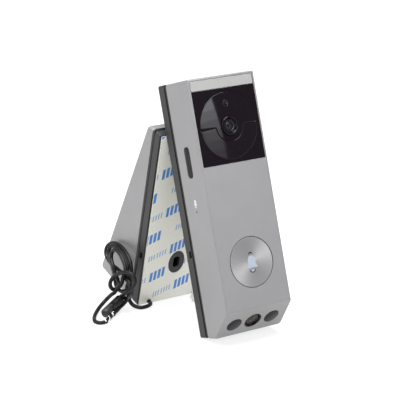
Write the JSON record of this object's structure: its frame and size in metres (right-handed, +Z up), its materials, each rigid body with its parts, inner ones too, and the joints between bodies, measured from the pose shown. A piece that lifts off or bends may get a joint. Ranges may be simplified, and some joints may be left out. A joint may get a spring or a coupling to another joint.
{
  "type": "video doorbell",
  "caption": "Battery video doorbell with cameras, a round call button and a wall tray, leaning on a wedge-shaped solar charging unit with a tied charging cord.",
  "frame": {"origin": "on the ground, under the middle of the two units' bounding box, the charging cord left out", "axes": "+Z up; the doorbell's front, with its cameras and button, looks along -Y; +X is to the right of someone facing it"},
  "size_m": [0.1013, 0.1532, 0.1724],
  "materials": {
    "silver_paint": "fine satin silver paint",
    "band_paint": "smooth warm silver paint",
    "dark_plastic": "finely textured dark grey",
    "gloss_black": "mirror-smooth black",
    "smoked_lens": "smoked, infrared-clear",
    "lens_glass": "coated lens glass",
    "spun_metal": "spun in circles",
    "seal_rubber": "matte",
    "cord_rubber": "satin soft jacket",
    "screw_steel": "plain",
    "module_plastic": "moulded black",
    "circuit_board": "green lacquered board",
    "battery_wrap": "shrink wrap",
    "solar_cover": "clear anti-glare glass",
    "solar_cell": "dark blue cells",
    "foam": "soft foam tape",
    "liner_paper": "pale waxed paper with a blue print of dashes"
  },
  "bodies": {
    "doorbell": {"front_housing": "silver_paint", "trim_band": "band_paint", "front_panel": "gloss_black", "camera_window": "gloss_black", "motion_lens": "smoked_lens", "lens_ring": "gloss_black", "main_lens": "lens_glass", "light_sensor_lens": "lens_glass", "ring_light_guide": "dark_plastic", "foot_camera_ring": "gloss_black", "foot_camera_lens": "lens_glass", "foot_window_left": "smoked_lens", "foot_window_right": "smoked_lens", "speaker_grille": "dark_plastic", "housing_seal": "seal_rubber", "back_cover": "dark_plastic", "housing_screw_1": "screw_steel", "housing_screw_2": "screw_steel", "housing_screw_3": "screw_steel", "housing_screw_4": "screw_steel", "main_camera": "module_plastic", "motion_sensor": "screw_steel", "foot_camera": "module_plastic", "foot_led_left": "lens_glass", "foot_led_right": "lens_glass", "button_switch": "screw_steel", "main_board": "circuit_board", "charge_port": "screw_steel", "battery_pack": "battery_wrap", "speaker": "module_plastic", "microphone": "module_plastic"},
    "button": {"call_button": "spun_metal"},
    "port_flap": {"port_cover": "seal_rubber"},
    "latch": {"release_latch": "module_plastic"},
    "wall_tray": {"wall_plate": "dark_plastic"},
    "charger_mount": {"mount_base": "dark_plastic", "foam_pad": "foam", "release_liner": "liner_paper", "cord_grommet": "seal_rubber", "charging_cord": "cord_rubber", "cord_bundle": "cord_rubber", "plug_body": "cord_rubber", "plug_tip": "screw_steel", "plug_cap": "dark_plastic"},
    "charger_unit": {"wedge_shell": "silver_paint", "solar_glass": "solar_cover", "solar_cells": "solar_cell", "shell_back": "dark_plastic", "charge_board": "circuit_board", "shell_screw_1": "screw_steel", "shell_screw_2": "screw_steel", "shell_screw_3": "screw_steel", "shell_screw_4": "screw_steel"}
  },
  "joints": [
    {"name": "button_press", "type": "slide", "parent": "doorbell", "child": "button", "axis": [0, 0.9532, -0.3024], "range_m": [0, 0.0008], "stiffness_N_per_m": 1500},
    {"name": "port_flap_turn", "type": "hinge", "parent": "doorbell", "child": "port_flap", "pos_m": [0.0281, -0.05618, 0.06], "axis": [0, -0.9532, 0.3024], "range_deg": [0, 100]},
    {"name": "latch_press", "type": "slide", "parent": "doorbell", "child": "latch", "axis": [1, 0, 0], "range_m": [0, 0.0015], "stiffness_N_per_m": 800},
    {"name": "wall_tray_slide", "type": "slide", "parent": "doorbell", "child": "wall_tray", "axis": [0, 0.3024, 0.9532], "range_m": [0, 0.006]},
    {"name": "charger_apart", "type": "slide", "parent": "doorbell", "child": "charger_mount", "axis": [0, 1, 0], "range_m": [0, 0.04]},
    {"name": "charger_unit_lift", "type": "slide", "parent": "charger_mount", "child": "charger_unit", "axis": [0, -0.2538, 0.9673], "range_m": [0, 0.006]}
  ]
}
